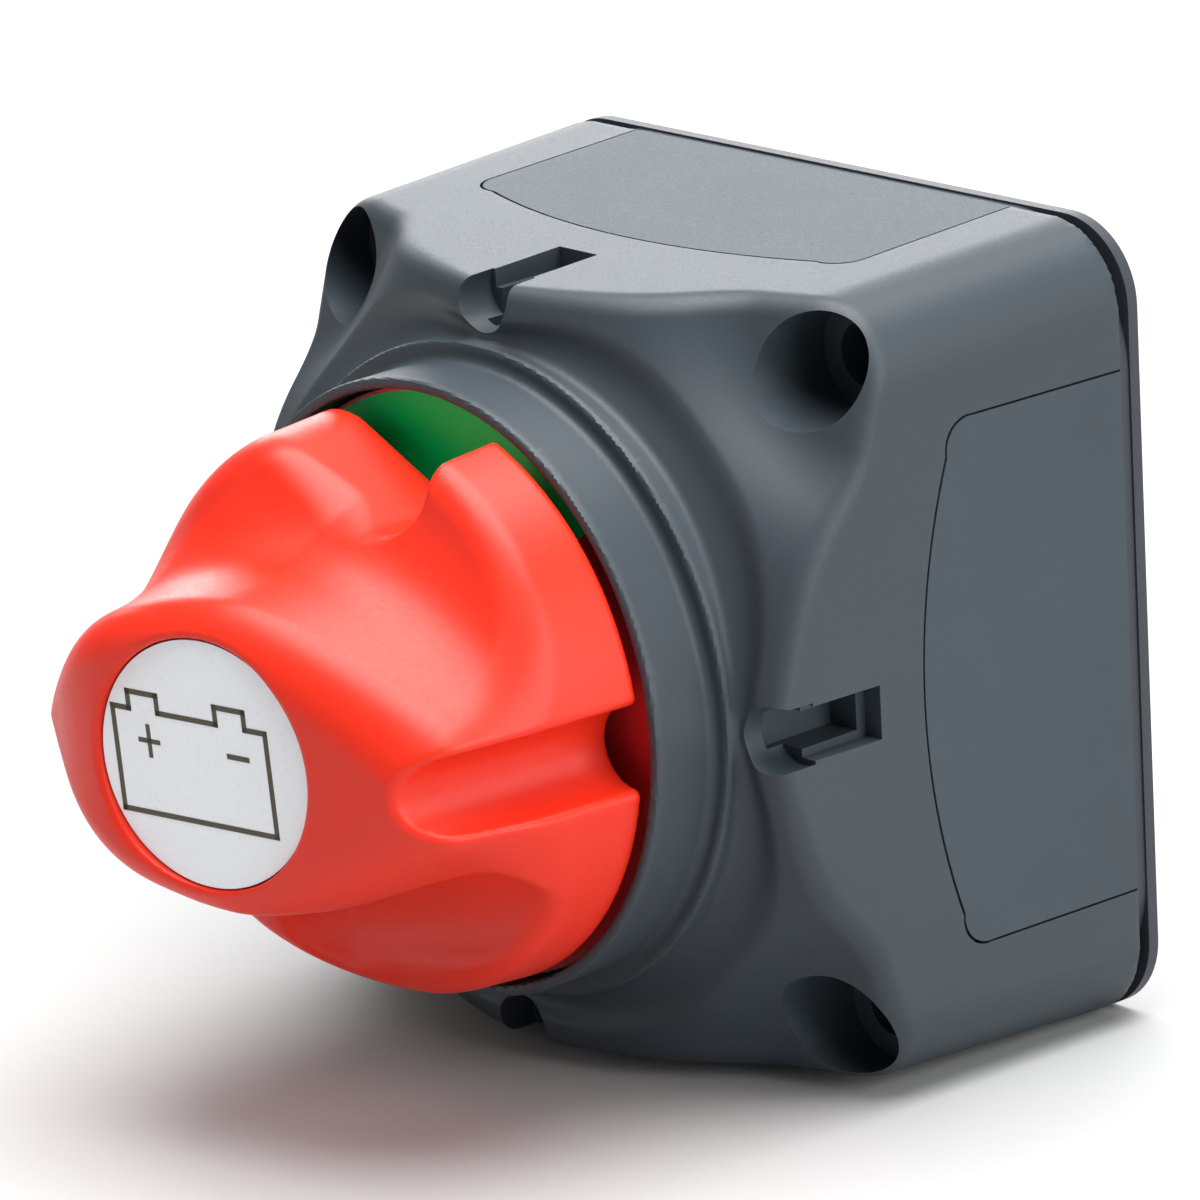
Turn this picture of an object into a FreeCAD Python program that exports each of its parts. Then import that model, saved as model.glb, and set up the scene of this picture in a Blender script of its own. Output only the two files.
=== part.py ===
"""Rotary battery isolator switch: one file per physical piece, in millimetres.

The switch faces -Y. The plane y = 0 is the back of its rear cover, where it meets the
panel, +X is to the right for somebody who faces the knob, and +Z is up. The knob and
everything it turns share one axis, the line x = z = 0. The switch is shown closed (on).
"""
import FreeCAD, Part
import math
import os
from FreeCAD import Vector

# ---- Housing ---------------------------------------------------------------------------
half_width = 34.5            # the switch is 69 mm square
corner_radius = 7.0
side_draft = 1.2             # each side leans in by this much between its back and its front
side_front = -29.0           # front end of the four flat sides
wall = 3.3
drum_front = -41.2           # the round drum that carries the collar
drum_front_radius = 31.6
drum_rear_radius = 35.0
drum_edge = 1.6
shoulder_height = -31.0      # y of the sloping shoulder at each mounting hole
shoulder_slope = 0.3         # fall of the shoulder per millimetre along X, and along Z
ring_front = -42.0           # the step round the collar
ring_radius = 27.9
collar_front = -48.2
collar_radius = 26.2
collar_inner_radius = 25.2
recess_floor = -44.6         # floor of the recess that the indicator lies in
chamber_front = -41.5
chamber_radius = 20.0
pocket_front = -28.2         # shoulder that the gasket lies on
pocket_radius = 29.5
cavity_front = -24.5
post_radius = 7.0
boss_wall = 3.4              # wall of the boss round the spindle
boss_rear = -39.0
screw_hole_front = -36.0
housing_rear = -2.2

# ---- Mounting holes --------------------------------------------------------------------
hole_offset = 27.8           # each hole's distance from the centre along X and along Z
hole_radius = 2.75
counterbore_radius = 4.7
counterbore_floor = -24.7

# ---- Side panels and keyhole slots -----------------------------------------------------
panel_half_width = 22.6
panel_front = -21.9
panel_bow = 3.4
panel_corner = 3.0
panel_rebate = 2.0           # depth of the rebate that a panel's skin lies in
panel_skin = 1.9
panel_gap = 0.2
plug_inset = 1.8
slot_rear = -30.0
slot_front = -40.0
slot_half_width = 2.3
slot_inner_half_width = 1.5
slot_inner_rear = -31.0
slot_ledge_depth = 31.4      # distance from the axis to the slot's ledge
slot_depth = 28.4
slot_end_centre = 31.6       # the slot's front end is a round well in the drum's face
slot_end_radius = 2.9
slot_end_floor = -37.2

# ---- Rear cover ------------------------------------------------------------------------
cover_rim_front = -2.1
cover_plate_front = -1.1
cover_rim_corner = 12.0
cover_lip_front = -6.5
cover_lip_half_length = 15.0
cover_lip_thickness = 1.5
cover_gap = 0.2

# ---- Indicator -------------------------------------------------------------------------
indicator_radius = 24.9
indicator_bore = 9.4
indicator_thickness = 1.2
sector_inner_radius = 14.0
sector_outer_radius = 24.6
sector_half_angle = 46.0
sector_thickness = 0.4

# ---- Knob ------------------------------------------------------------------------------
skirt_radius = 24.7
skirt_rear = -48.4
wall_draft = 0.078           # the knob's wall leans in by this much per millimetre towards its front
rim_front = -56.0            # edge between the knob's wall and its dome
dome_radius = 8.0
dome_front = -60.0
knob_wall = 2.6
handle_half_length = 23.5
handle_half_width = 12.9
handle_tip = -76.0
tip_x = -12.0                # where the handle is highest
left_end_front = -70.6
handle_hollow_front = -66.0
handle_wall = 4.4
handle_right_side = ((0, 1.0), (0.38, 0.78), (0.62, 0.52), (0.9, 0.2))  # along, across, as shares
point_inset = 1.8            # the pointed ends move in by this many times as much as the sides
hub_radius = 7.4
hub_rear = -46.6
label_radius = 10.4
label_thickness = 0.8
label_recess = 1.0
label_front = -74.0
label_slope = 12.0           # degrees that the handle's face leans towards +X
groove_radius = 3.5
groove_axis = 24.0           # distance of the pointer groove's axis from the switch's axis, at the skirt
window_x = 5.2               # centre of the window's round end
window_z = 20.2
window_radius = 3.7
window_flare = 26.0          # degrees by which the window's left wall opens above the X direction
window_wall = 1.6
clip_front = -58.0
clip_rear = -57.1
clip_half = 5.5
clip_gap = 0.1

# ---- Spindle and what it turns ---------------------------------------------------------
spindle_radius = 6.0
running_gap = 0.05
drive_square = 7.0
drive_groove = 0.4           # depth of the clip's groove in the square drive
spindle_round_front = -46.2
retaining_groove_front = -45.7
retaining_groove_rear = -44.8
retaining_ring_radius = 7.8
retaining_ring_half_gap = 3.2
seal_groove_half = 1.0
spindle_front = -63.0
spindle_flange_radius = 9.0
spindle_flange_front = -38.8
spindle_flange_rear = -36.5
spindle_rear = -32.5
o_ring_section = 0.9
o_ring_y = -41.8
clip_groove_radius = 5.0
carrier_radius = 14.5
carrier_front = -36.4
carrier_rear = -30.9
lug_half_length = 8.0
lug_z = 5.4                  # the carrier's two lugs lie on both sides of the bridge
lug_half_width = 1.2
lug_height = 1.5
bridge_half_length = 11.3
bridge_half_width = 4.0
bridge_front = -30.4
bridge_rear = -28.4
contact_spring_x = 6.4
contact_spring_front = -34.6
contact_spring_pocket = 2.4
contact_spring_size = (1.7, 0.4, 4.2, 4)    # mean radius, wire radius, length, turns
bridge_corner = 1.2
detent_radius = 2.0
detent_tip = 19.6
detent_y = -33.7
detent_stem_start = 11.6
detent_stem_length = 6.0
detent_spring_start = 8.0
detent_spring_size = (1.4, 0.3, 3.6, 5)     # mean radius, wire radius, length, turns
detent_bore_length = 10.0
notch_depth = 0.7            # how far each notch reaches past a plunger's tip

# ---- Terminal base ---------------------------------------------------------------------
base_radius = 29.3
base_front = -27.6
base_rear = -23.6
bar_thickness = 2.0
bar_inner_end = 5.0
bar_outer_end = 23.0
bar_half_width = 7.5
bar_corner = 2.0
barrier_half = (1.5, 14.0)   # half its thickness and half its length
barrier_rear = -10.0
pad_thickness = 0.8
pad_inner_end = 6.2
pad_outer_end = 10.8
pad_half_width = 3.6
stud_x = 16.0
stud_radius = 4.75
stud_rear = -5.0
stud_chamfer = 0.8
stud_fit = 0.02              # radial room of the stud in its press holes and in its nut
washer_fit = 0.35
lock_washer_radius = 8.0
lock_washer_half_slit = 0.6
washer_radius = 9.5
flat_washer_thickness = 1.6
lock_washer_thickness = 2.2
nut_across_flats = 16.0
nut_height = 8.0
nut_crown = 4.5              # how much wider the cone that rounds a nut's corners is at its front
nut_face_inset = 0.9
screw_circle = 25.0
screw_radius = 1.75
screw_front = -35.5
screw_head_radius = 2.9
screw_head_height = 2.0
screw_slot_depth = 0.9
screw_slot_half_width = 0.4
screw_fit = 0.1

TOP = math.pi / 2
AXIS = Vector(0, 1, 0)


def along_y(radius, front, rear, x=0.0, z=0.0):
    """Cylinder along the switch's axis direction, from y = front to y = rear."""
    return Part.makeCylinder(radius, rear - front, Vector(x, front, z), AXIS)


def box(x0, x1, y0, y1, z0, z1):
    """Box between two corners."""
    return Part.makeBox(x1 - x0, y1 - y0, z1 - z0, Vector(x0, y0, z0))


def turned(shape, degrees):
    """Copy of a shape, turned about the switch's axis from +X towards +Z."""
    copy = shape.copy()
    copy.rotate(Vector(0, 0, 0), Vector(0, -1, 0), degrees)
    return copy


def four_sides(shape):
    """The same shape on the right, top, left and bottom sides."""
    return [turned(shape, 90 * quarter) for quarter in range(4)]


def corners(offset):
    """The four points at the same distance from both middle planes."""
    return [(sx * offset, sz * offset) for sx in (1, -1) for sz in (1, -1)]


def joined(shapes):
    """One solid from shapes that overlap."""
    result = shapes[0]
    if len(shapes) > 1:
        result = result.multiFuse(shapes[1:])
    return result.removeSplitter()


def less(shape, tools):
    """A shape with a list of other shapes cut away."""
    return shape.cut(tools).removeSplitter()


def arc(start, middle, end):
    """Edge of a circular arc through three points."""
    return Part.Arc(Vector(*start), Vector(*middle), Vector(*end)).toShape()


def line(start, end):
    """Straight edge."""
    return Part.LineSegment(Vector(*start), Vector(*end)).toShape()


def rounded_square(half, corner, y):
    """Closed outline of a square with round corners, in the plane at y."""
    flat = half - corner
    bulge = flat + corner * math.sqrt(0.5)
    edges = []
    for quarter in range(4):
        side = line((half, y, -flat), (half, y, flat))
        bend = arc((half, y, flat), (bulge, y, bulge), (flat, y, half))
        edges += [turned(side, 90 * quarter), turned(bend, 90 * quarter)]
    return Part.Wire(edges)


def square_prism(half, corner, front, rear, front_half=None):
    """Square block with round corners. front_half makes its front a little smaller."""
    if front_half is None:
        return Part.Face(rounded_square(half, corner, front)).extrude(Vector(0, rear - front, 0))
    outlines = [rounded_square(front_half, corner, front), rounded_square(half, corner, rear)]
    return Part.makeLoft(outlines, True, True)


def flat_shape(points, height, direction):
    """Prism over a polygon."""
    outline = Part.makePolygon([Vector(*point) for point in points + points[:1]])
    return Part.Face(outline).extrude(direction * height)


def ring(outer, inner, front, rear, x=0.0, z=0.0):
    """Flat ring about an axis along Y."""
    return along_y(outer, front, rear, x, z).cut(along_y(inner, front - 1, rear + 1, x, z))


def coil_spring(mean_radius, wire_radius, length, turns, start, direction):
    """Helical compression spring that starts at a point and runs in a direction."""
    rise = length - 2 * wire_radius
    path = Part.makeHelix(rise / turns, rise, mean_radius)
    section = Part.Wire(Part.makeCircle(wire_radius, Vector(mean_radius, 0, 0), AXIS))
    spring = Part.Wire(path).makePipeShell([section], True, True)
    spring.translate(Vector(0, 0, wire_radius))
    spring.Placement = FreeCAD.Placement(start, FreeCAD.Rotation(Vector(0, 0, 1), direction)).multiply(
        spring.Placement)
    return spring


# ---- Housing and its covers ------------------------------------------------------------

def flat_sided_block():
    """The drafted square block that gives the four sides and the side panels their skin."""
    front_half = half_width - side_draft
    return square_prism(half_width, corner_radius, side_front, housing_rear, front_half)


def panel_outline(inset, x0, x1, rear):
    """Prism through the right side with the side panel's outline, made smaller by inset."""
    half = panel_half_width - inset
    front = panel_front + inset
    crown = front - panel_bow
    start = (x0, rear, -half)
    low = (x0, front + panel_corner, -half)
    low_bend = (x0, front + panel_corner * 0.25, -half + panel_corner * 0.25)
    low_end = (x0, front, -half + panel_corner)
    high_end = (x0, front, half - panel_corner)
    high_bend = (x0, front + panel_corner * 0.25, half - panel_corner * 0.25)
    high = (x0, front + panel_corner, half)
    end = (x0, rear, half)
    edges = [line(start, low), arc(low, low_bend, low_end), arc(low_end, (x0, crown, 0), high_end),
             arc(high_end, high_bend, high), line(high, end), line(end, start)]
    return Part.Face(Part.Wire(edges)).extrude(Vector(x1 - x0, 0, 0))


def panel_window():
    """What the right side panel needs cut out of the housing: its skin and its plug."""
    skin = panel_outline(0, half_width - panel_rebate, half_width + 2, 0)
    plug = panel_outline(plug_inset, half_width - wall - 2, half_width, 0)
    return skin.fuse(plug)


def keyhole_slot():
    """Label slot in the right side of the drum: a ledge, a deeper slot, and a round well in front."""
    outside = half_width + 4
    ledge = box(slot_ledge_depth, outside, slot_front, slot_rear, -slot_half_width, slot_half_width)
    deep = box(slot_depth, outside, slot_front, slot_inner_rear,
               -slot_inner_half_width, slot_inner_half_width)
    well = along_y(slot_end_radius, ring_front - 1, slot_end_floor, slot_end_centre)
    return ledge.fuse([deep, well])


def shoulder(reach):
    """Four sloping planes between the drum and the corners, as a four-sided pyramid's stump."""
    front = drum_front + 0.5
    outlines = []
    for y in (front, side_front):
        spread = 2 * hole_offset + (y - shoulder_height) / shoulder_slope
        diamond = [Vector(spread, y, 0), Vector(0, y, spread), Vector(-spread, y, 0), Vector(0, y, -spread)]
        outlines.append(Part.makePolygon(diamond + diamond[:1]))
    return Part.makeLoft(outlines, True, True).common(reach)


def drum(reach):
    """Round drum in the middle of the front, with a rounded front edge."""
    depth = side_front + 1 - drum_front
    cone = Part.makeCone(drum_front_radius, drum_rear_radius, depth, Vector(0, drum_front, 0), AXIS)
    front_edge = [edge for edge in cone.Edges if edge.CenterOfMass.y < drum_front + 0.1]
    return cone.makeFillet(drum_edge, front_edge[:1]).common(reach)


def housing_outside():
    """Outer form: square block, sloping shoulders, drum, ring and collar."""
    block = flat_sided_block()
    lean = side_draft / (housing_rear - side_front)
    front_half = half_width - side_draft - lean * (side_front - drum_front)
    reach = square_prism(half_width - side_draft, corner_radius, drum_front - 1, side_front + 0.5, front_half)
    step = along_y(ring_radius, ring_front, drum_front + 3)
    collar = along_y(collar_radius, collar_front, drum_front + 3)
    return joined([block, drum(reach), shoulder(reach), step, collar])


def front_housing():
    """Moulded body: collar, contact chamber, pocket for the base, rear cavity, corner holes."""
    cavity = square_prism(half_width - wall, corner_radius - wall, cavity_front, 1)
    posts = [along_y(post_radius, cavity_front - 1, 2, x, z) for x, z in corners(hole_offset)]
    cuts = [along_y(collar_inner_radius, collar_front - 1, recess_floor),
            along_y(chamber_radius, chamber_front, pocket_front + 1),
            along_y(pocket_radius, pocket_front, cavity_front + 1),
            along_y(spindle_radius + running_gap, recess_floor - 1, chamber_front + 1),
            cavity.cut(posts)]
    for x, z in corners(hole_offset):
        cuts.append(along_y(hole_radius, collar_front, 1, x, z))
        cuts.append(along_y(counterbore_radius, collar_front, counterbore_floor, x, z))
    for x, z in screw_places():
        cuts.append(along_y(screw_radius, screw_hole_front, pocket_front + 1, x, z))
    cuts += four_sides(panel_window()) + four_sides(keyhole_slot())
    notch_radius = detent_radius + 0.3
    notch = along_y(notch_radius, detent_y - notch_radius + 0.1, pocket_front,
                    detent_tip - detent_radius + notch_depth)
    cuts += four_sides(notch)
    boss = ring(spindle_radius + boss_wall, spindle_radius + running_gap, chamber_front - 1, boss_rear)
    return joined([less(housing_outside(), cuts), boss])


def side_panel():
    """Blanking panel of the right side: a skin flush with the side and a plug behind it."""
    skin_depth = half_width - panel_skin
    skin = flat_sided_block().common(panel_outline(panel_gap, skin_depth, half_width + 2, housing_rear))
    plug = panel_outline(plug_inset + panel_gap, half_width - wall, skin_depth + 0.1, housing_rear)
    return skin.fuse(plug).removeSplitter()


def rear_cover():
    """Clip-on back: a plate, a rim that is cut back at the corners, and four locating lips."""
    plate = square_prism(half_width, corner_radius, cover_plate_front, 0)
    rim = square_prism(half_width - cover_gap, cover_rim_corner, cover_rim_front, cover_plate_front + 0.2)
    outer = half_width - wall - cover_gap
    lip = box(outer - cover_lip_thickness, outer, cover_lip_front, cover_rim_front + 0.5,
              -cover_lip_half_length, cover_lip_half_length)
    holes = [along_y(hole_radius, cover_rim_front - 1, 1, x, z) for x, z in corners(hole_offset)]
    return less(joined([plate, rim] + four_sides(lip)), holes)


# ---- Indicator -------------------------------------------------------------------------

def sector(inner, outer, front, rear, half_angle, centre):
    """Part of a flat ring between two angles, measured from +X towards +Z."""
    turn = math.radians(half_angle)
    points = []
    for radius, sign in ((inner, -1), (outer, 1)):
        for step in (-1, 0, 1):
            angle = centre + sign * step * turn
            points.append((radius * math.cos(angle), front, radius * math.sin(angle)))
    edges = [arc(*points[0:3]), line(points[2], points[3]), arc(*points[3:6]), line(points[5], points[0])]
    return Part.Face(Part.Wire(edges)).extrude(Vector(0, rear - front, 0))


def green_sector():
    """Green inlay above the axis, which the knob's window shows while the switch is on."""
    front = recess_floor - indicator_thickness
    return sector(sector_inner_radius, sector_outer_radius, front, front + sector_thickness,
                  sector_half_angle, TOP)


def indicator_disc():
    """Red disc on the floor of the collar, with a shallow pocket for the green inlay."""
    front = recess_floor - indicator_thickness
    disc = ring(indicator_radius, indicator_bore, front, recess_floor)
    return disc.cut(green_sector())


# ---- Knob ------------------------------------------------------------------------------

def label_seat(radius, front_depth, rear_depth):
    """Cylinder square to the handle's sloping face, between two depths under its label."""
    slope = math.radians(label_slope)
    inward = Vector(-math.sin(slope), math.cos(slope), 0)
    start = Vector(0, label_front, 0) + inward * front_depth
    return Part.makeCylinder(radius, rear_depth - front_depth, start, inward)


def handle_prism(inset, front, rear):
    """Eye-shaped bar across the knob, made smaller all round by inset."""
    half = handle_half_width - inset
    left = -handle_half_length + point_inset * inset
    right = handle_half_length - point_inset * inset
    sides = []
    for sign in (1, -1):
        bend = [(x * right, front, sign * z * half) for x, z in handle_right_side]
        spline = Part.BSplineCurve()
        spline.interpolate([Vector(*point) for point in bend])
        middle = (left * 0.54, front, sign * half * 0.758)
        sides.append([arc((left, front, 0), middle, bend[0]), spline.toShape()])
    end_x, end_z = handle_right_side[-1]
    closing = line((end_x * right, front, end_z * half), (end_x * right, front, -end_z * half))
    outline = Part.Wire([sides[0][0], sides[0][1], closing, sides[1][1], sides[1][0]])
    return Part.Face(outline).extrude(Vector(0, rear - front, 0))


def knob_wall_cone(inset, front, rear):
    """What lies inside the knob's wall, which leans in a little towards the front."""
    radii = [skirt_radius - inset - wall_draft * (skirt_rear - y) for y in (front, rear)]
    return Part.makeCone(radii[0], radii[1], rear - front, Vector(0, front, 0), AXIS)


def handle():
    """The bar that a hand turns: highest near its left end, with a face that falls to the right."""
    bar = handle_prism(0, handle_tip - 2, skirt_rear)
    fall = math.tan(math.radians(label_slope))
    side_view = [(-30, skirt_rear, -20), (-30, left_end_front, -20), (-handle_half_length, left_end_front, -20),
                 (tip_x, handle_tip, -20), (30, label_front + 30 * fall, -20), (30, skirt_rear, -20)]
    return bar.common([flat_shape(side_view, 40, Vector(0, 0, 1))])


def window(margin):
    """Prism over the viewing window in the knob's top, made larger by margin."""
    radius = window_radius + margin
    flare = math.radians(window_flare)
    start = (window_x - radius * math.sin(flare), window_z - radius * math.cos(flare))
    reach = 20.0
    end = (start[0] - reach * math.cos(flare), start[1] + reach * math.sin(flare))
    right = window_x + radius
    far = 40.0
    points = [(right, window_z), (right, far), (end[0], far), end, start, (window_x, window_z)]
    front = -70.0
    prism = flat_shape([(x, front, z) for x, z in points], 30, AXIS)
    return prism.fuse(along_y(radius, front, front + 30, window_x, window_z))


def pointer_groove(radius):
    """Half-round groove down the handle's right end, which ends as a notch in the skirt."""
    front = handle_tip - 2
    start = Vector(groove_axis - wall_draft * (skirt_rear - front), front, 0)
    return Part.makeCylinder(radius, 34, start, Vector(wall_draft, 1, 0))


def knob_hollow():
    """Space inside the knob, with walls left round its hub, its window and its pointer groove."""
    dome_slope = (skirt_radius - dome_radius) / (rim_front - dome_front)
    inner_front = rim_front + knob_wall
    under = knob_wall_cone(knob_wall, inner_front, hub_rear + 1)
    inner_radius = skirt_radius - knob_wall - wall_draft * (skirt_rear - inner_front)
    depth = (inner_radius - hub_radius) / dome_slope
    lowered_dome = Part.makeCone(hub_radius, inner_radius, depth, Vector(0, inner_front - depth, 0), AXIS)
    bar = handle_prism(handle_wall, handle_hollow_front, inner_front)
    hub = along_y(hub_radius, handle_tip, hub_rear)
    kept = [hub, window(window_wall), pointer_groove(groove_radius + window_wall)]
    return joined([under, lowered_dome, bar]).cut(kept)


def knob():
    """Moulded knob with a skirt, handle, window, pointer groove and a socket for the spindle."""
    skirt = knob_wall_cone(0, rim_front, skirt_rear)
    rim_radius = skirt_radius - wall_draft * (skirt_rear - rim_front)
    dome = Part.makeCone(dome_radius, rim_radius, rim_front - dome_front, Vector(0, dome_front, 0), AXIS)
    bar = handle().common(knob_wall_cone(0, handle_tip - 2, skirt_rear))
    hub = along_y(hub_radius, rim_front, hub_rear)
    body = joined([skirt, dome, bar, hub])
    half = drive_square / 2 + running_gap
    socket = box(-half, half, spindle_front - 0.3, hub_rear + 1, -half, half)
    reach = clip_half + clip_gap
    clip = box(-reach, reach, clip_front - clip_gap, clip_rear + clip_gap, -reach, reach)
    seat = label_seat(label_radius + 0.15, -3.0, label_recess + label_thickness)
    cuts = [knob_hollow(), socket, clip, seat, window(0), pointer_groove(groove_radius)]
    return less(body, cuts)


def knob_label():
    """Round label plate let into the handle's face."""
    return label_seat(label_radius, label_recess, label_recess + label_thickness)


def knob_clip():
    """Spring clip in the knob's hub that snaps into the groove of the spindle."""
    plate = box(-clip_half, clip_half, clip_front, clip_rear, -clip_half, clip_half)
    half = drive_square / 2 - drive_groove
    return plate.cut(box(-half, half, clip_front - 1, clip_rear + 1, -half, clip_half + 1))


# ---- Spindle and what it turns ---------------------------------------------------------

def spindle():
    """Shaft with a square drive for the knob, two grooves, a flange and a rear square."""
    half = drive_square / 2
    shaft = along_y(spindle_radius, spindle_round_front, spindle_flange_front + 0.5)
    drive = box(-half, half, spindle_front, spindle_round_front + 0.2, -half, half)
    flange = along_y(spindle_flange_radius, spindle_flange_front, spindle_flange_rear)
    tail = box(-half, half, spindle_flange_rear - 0.5, spindle_rear, -half, half)
    outside = spindle_radius + 2
    core = half - drive_groove
    clip_groove = box(-outside, outside, clip_front - clip_gap, clip_rear + clip_gap, -outside, outside)
    clip_groove = clip_groove.cut(box(-core, core, clip_front - 1, clip_rear + 1, -core, core))
    grooves = [ring(outside, clip_groove_radius, retaining_groove_front, retaining_groove_rear),
               ring(outside, spindle_radius - 2 * o_ring_section, o_ring_y - seal_groove_half,
                    o_ring_y + seal_groove_half), clip_groove]
    return less(joined([shaft, drive, flange, tail]), grooves)


def shaft_seal():
    """O-ring in the spindle's groove."""
    return Part.makeTorus(spindle_radius - o_ring_section, o_ring_section, Vector(0, o_ring_y, 0), AXIS)


def retaining_ring():
    """Open ring that keeps the spindle in the housing."""
    whole = ring(retaining_ring_radius, clip_groove_radius, retaining_groove_front + clip_gap,
                 retaining_groove_rear - clip_gap)
    return whole.cut(box(-retaining_ring_half_gap, retaining_ring_half_gap, retaining_groove_front - 1,
                         retaining_groove_rear + 1, 0, retaining_ring_radius + 2))


def contact_carrier():
    """Insulating rotor that carries the contact bridge, its springs and the detent plungers."""
    half = drive_square / 2 + 0.03
    disc = along_y(carrier_radius, carrier_front, carrier_rear)
    lugs = [box(-lug_half_length, lug_half_length, carrier_rear - 0.1, carrier_rear + lug_height,
                side * lug_z - lug_half_width, side * lug_z + lug_half_width) for side in (1, -1)]
    cuts = [box(-half, half, carrier_front - 1, spindle_rear + 0.2, -half, half)]
    for side in (1, -1):
        cuts.append(along_y(contact_spring_pocket, contact_spring_front, carrier_rear + 2,
                            side * contact_spring_x))
        bore_start = Vector(0, detent_y, side * detent_spring_start)
        cuts.append(Part.makeCylinder(detent_radius + running_gap, detent_bore_length, bore_start,
                                      Vector(0, 0, side)))
    return less(joined([disc] + lugs), cuts)


def contact_bridge():
    """Copper bar that joins the two fixed contacts when the switch is on."""
    bar = box(-bridge_half_length, bridge_half_length, bridge_front, bridge_rear,
              -bridge_half_width, bridge_half_width)
    return bar.makeFillet(bridge_corner, [edge for edge in bar.Edges
                                if abs(edge.tangentAt(edge.FirstParameter).y) > 0.9])


def contact_springs():
    """Two springs that press the bridge onto the fixed contacts."""
    return [coil_spring(*contact_spring_size, Vector(side * contact_spring_x, contact_spring_front, 0), AXIS)
            for side in (1, -1)]


def detent_plungers():
    """Two spring-loaded plungers that click into the housing's notches."""
    plungers = []
    for side in (1, -1):
        out = Vector(0, 0, side)
        start = Vector(0, detent_y, side * detent_stem_start)
        stem = Part.makeCylinder(detent_radius, detent_stem_length, start, out)
        tip = Part.makeSphere(detent_radius, Vector(0, detent_y, side * (detent_tip - detent_radius)))
        plungers.append(stem.fuse(tip).removeSplitter())
    return plungers


def detent_springs():
    """Two springs behind the detent plungers."""
    return [coil_spring(*detent_spring_size, Vector(0, detent_y, side * detent_spring_start),
                        Vector(0, 0, side)) for side in (1, -1)]


# ---- Terminal base ---------------------------------------------------------------------

def screw_places():
    """Centres of the four screws that hold the base."""
    return corners(screw_circle * math.sqrt(0.5))


def contact_bar(side):
    """Outline of a fixed contact: a copper bar let into the front of the base."""
    inner, outer = sorted((side * bar_inner_end, side * bar_outer_end))
    bar = box(inner, outer, base_front, base_front + bar_thickness, -bar_half_width, bar_half_width)
    return bar.makeFillet(bar_corner, [edge for edge in bar.Edges
                                if abs(edge.tangentAt(edge.FirstParameter).y) > 0.9])


def fixed_contact(side):
    """Fixed contact with the hole that its stud is pressed into."""
    hole = along_y(stud_radius + stud_fit, base_front - 1, base_rear, side * stud_x)
    return contact_bar(side).cut(hole)


def terminal_base():
    """Insulating base: two pockets for the contacts, stud holes, a barrier and screw holes."""
    disc = along_y(base_radius, base_front, base_rear)
    thickness, length = barrier_half
    barrier = box(-thickness, thickness, base_rear - 0.1, barrier_rear, -length, length)
    cuts = [contact_bar(1), contact_bar(-1)]
    for side in (1, -1):
        cuts.append(along_y(stud_radius + stud_fit, base_front - 1, 0, side * stud_x))
    for x, z in screw_places():
        cuts.append(along_y(screw_radius + screw_fit, base_front - 1, 0, x, z))
    return less(joined([disc, barrier]), cuts)


def base_gasket():
    """Flat seal between the housing and the base."""
    holes = [along_y(screw_radius + screw_fit, -30, -20, x, z) for x, z in screw_places()]
    return ring(base_radius, chamber_radius + 1.0, pocket_front, base_front).cut(holes)


def contact_pads():
    """Silver faces of the two fixed contacts."""
    return [box(*sorted((side * pad_inner_end, side * pad_outer_end)), bridge_rear,
                bridge_rear + pad_thickness, -pad_half_width, pad_half_width) for side in (1, -1)]


def terminal_stud(side):
    """Threaded stud, pressed through its fixed contact and out of the back of the base."""
    stud = along_y(stud_radius, base_front, stud_rear, side * stud_x)
    rear_edge = [edge for edge in stud.Edges if edge.CenterOfMass.y > stud_rear - 0.1]
    return stud.makeChamfer(stud_chamfer, rear_edge[:1])


def lock_washers():
    """Split spring washers on the studs."""
    front = base_rear + flat_washer_thickness
    washers = []
    for side in (1, -1):
        washer = ring(lock_washer_radius, stud_radius + washer_fit, front,
                      front + lock_washer_thickness, side * stud_x)
        slit = box(side * stud_x - lock_washer_half_slit, side * stud_x + lock_washer_half_slit,
                   front - 1, front + lock_washer_thickness + 1, 0, lock_washer_radius + 1)
        washers.append(washer.cut(slit))
    return washers


def flat_washers():
    """Plain washers on the studs."""
    return [ring(washer_radius, stud_radius + washer_fit, base_rear, base_rear + flat_washer_thickness,
                 side * stud_x) for side in (1, -1)]


def stud_nuts():
    """Hexagon nuts on the studs."""
    front = base_rear + flat_washer_thickness + lock_washer_thickness
    corner = nut_across_flats / 2 / math.cos(math.pi / 6)
    nuts = []
    for side in (1, -1):
        points = [(side * stud_x + corner * math.cos(k * math.pi / 3), front,
                   corner * math.sin(k * math.pi / 3)) for k in range(6)]
        nut = flat_shape(points, nut_height, AXIS)
        crown = Part.makeCone(corner - nut_face_inset + nut_crown, corner - nut_face_inset, nut_height,
                              Vector(side * stud_x, front, 0), AXIS)
        nut = nut.common(crown)
        nuts.append(nut.cut(along_y(stud_radius + stud_fit, front - 1, front + 20, side * stud_x)))
    return nuts


def base_screws():
    """Four pan-head screws from the back of the base into the housing."""
    screws = []
    for x, z in screw_places():
        shank = along_y(screw_radius, screw_front, base_rear + 0.1, x, z)
        head = along_y(screw_head_radius, base_rear, base_rear + screw_head_height, x, z)
        slot_floor = base_rear + screw_head_height - screw_slot_depth
        slot = box(x - screw_head_radius - 1, x + screw_head_radius + 1, slot_floor, slot_floor + 2,
                   z - screw_slot_half_width, z + screw_slot_half_width)
        screws.append(shank.fuse(head).removeSplitter().cut(slot))
    return screws


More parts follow.
